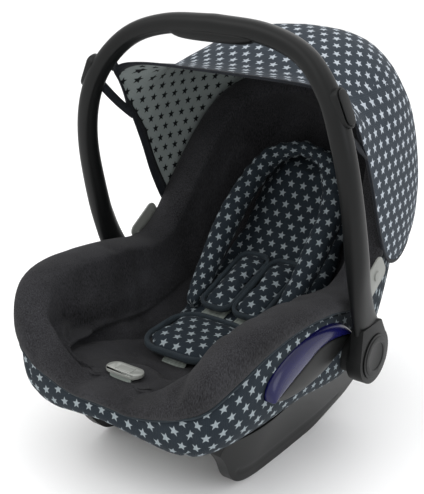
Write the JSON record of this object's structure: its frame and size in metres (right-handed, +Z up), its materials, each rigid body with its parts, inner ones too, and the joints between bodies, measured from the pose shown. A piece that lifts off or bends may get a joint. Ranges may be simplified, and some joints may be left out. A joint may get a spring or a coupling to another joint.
{
  "type": "infant car seat",
  "caption": "Rearward infant carrier seat: padded bucket shell on rockers, turning carry handle, hooded canopy, harness with pads, head hugger and adjuster.",
  "frame": {"origin": "middle of the footprint on the floor", "axes": "+Z up, -Y towards the foot end, +Y towards the head end, X across the seat"},
  "size_m": [0.454, 0.61, 0.582],
  "materials": {
    "plastic": "matt moulded, fine grain",
    "slate": "printed cotton",
    "melange": "melange jersey",
    "foam": "expanded foam beads",
    "lens": "polished",
    "light_grey": "satin moulded",
    "webbing": "woven webbing",
    "steel": "zinc plated",
    "button_red": "satin",
    "canopy": "printed cotton",
    "binding": "woven tape",
    "rubber": "matt"
  },
  "bodies": {
    "shell": {"tub": "plastic", "foam_liner": "foam", "seat_lining": "melange", "border_cover": "slate", "rocker_left": "plastic", "rocker_right": "plastic", "cross_bars": "plastic", "glide_pads": "rubber", "pivot_left": "plastic", "pivot_right": "plastic", "guide_lens_left": "lens", "guide_lens_right": "lens", "guide_cover_left": "plastic", "guide_cover_right": "plastic", "rear_belt_guide": "lens", "harness_plate_left": "light_grey", "harness_plate_right": "light_grey", "infant_insert": "slate", "head_hugger": "slate", "shoulder_pad_left": "slate", "shoulder_pad_right": "slate", "shoulder_strap_left": "webbing", "shoulder_strap_right": "webbing", "crotch_pad": "slate", "crotch_strap": "webbing", "buckle_housing": "plastic", "tongue_left": "steel", "tongue_right": "steel", "adjuster_bezel": "light_grey", "adjuster_strap": "webbing", "harness_yoke": "steel", "back_webbing": "webbing", "shell_screws": "steel", "canopy_cloth": "canopy", "canopy_loops": "binding"},
    "handle": {"handle_bow": "plastic", "grip_pad": "plastic", "handle_hub_left": "plastic", "handle_hub_right": "plastic", "hub_cap_left": "plastic", "hub_cap_right": "plastic", "button_seat_left": "plastic", "button_seat_right": "plastic"},
    "release_left": {"release_button_left": "plastic"},
    "release_right": {"release_button_right": "plastic"},
    "adjuster": {"adjuster_button": "light_grey"},
    "buckle_release": {"buckle_button": "button_red"}
  },
  "joints": [
    {"name": "handle_turn", "type": "hinge", "parent": "shell", "child": "handle", "pos_m": [0, -0.008, 0.152], "axis": [-1, 0, 0], "range_deg": [0, 105], "deforming": ["canopy_cloth", "canopy_loops"]},
    {"name": "release_right_press", "type": "slide", "parent": "handle", "child": "release_right", "axis": [-0.9135, 0, -0.4067], "range_m": [0, 0.002], "stiffness_N_per_m": 900},
    {"name": "release_left_press", "type": "slide", "parent": "handle", "child": "release_left", "axis": [0.9135, 0, -0.4067], "range_m": [0, 0.002], "stiffness_N_per_m": 900},
    {"name": "adjuster_press", "type": "slide", "parent": "shell", "child": "adjuster", "axis": [0, 0, -1], "range_m": [0, 0.003], "stiffness_N_per_m": 700},
    {"name": "buckle_press", "type": "slide", "parent": "shell", "child": "buckle_release", "axis": [0, 0, -1], "range_m": [0, 0.0035], "stiffness_N_per_m": 1200}
  ]
}
